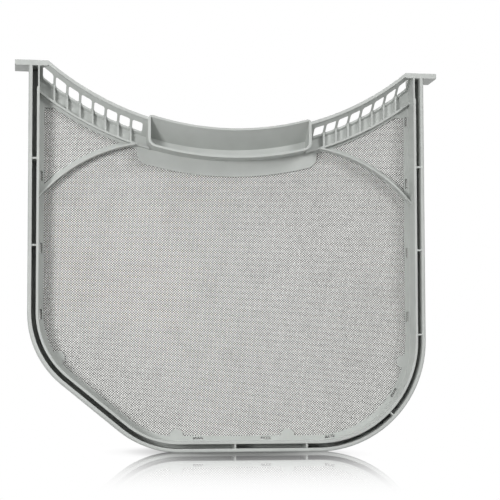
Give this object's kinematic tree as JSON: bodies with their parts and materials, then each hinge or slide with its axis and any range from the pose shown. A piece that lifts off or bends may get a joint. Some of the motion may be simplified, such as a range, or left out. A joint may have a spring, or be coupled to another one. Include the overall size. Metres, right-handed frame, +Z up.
{
  "type": "tumble dryer lint filter",
  "caption": "Flat dryer lint filter: a grey moulded rim around a fine woven screen, with a curved grille ledge, a finger pocket to lift it by and side tabs that hang it in its slot.",
  "frame": {"origin": "under the middle of the filter, on the surface that it stands on, halfway between front and back", "axes": "+X to the right across the tabs, +Y from the open front to the screen side, +Z up, out of the slot"},
  "size_m": [0.41, 0.028, 0.37],
  "materials": {
    "frame_plastic": "fine satin moulding",
    "screen_thread": "plain woven thread"
  },
  "bodies": {
    "root": {"filter_frame": "frame_plastic", "mesh_screen": "screen_thread"}
  },
  "joints": []
}
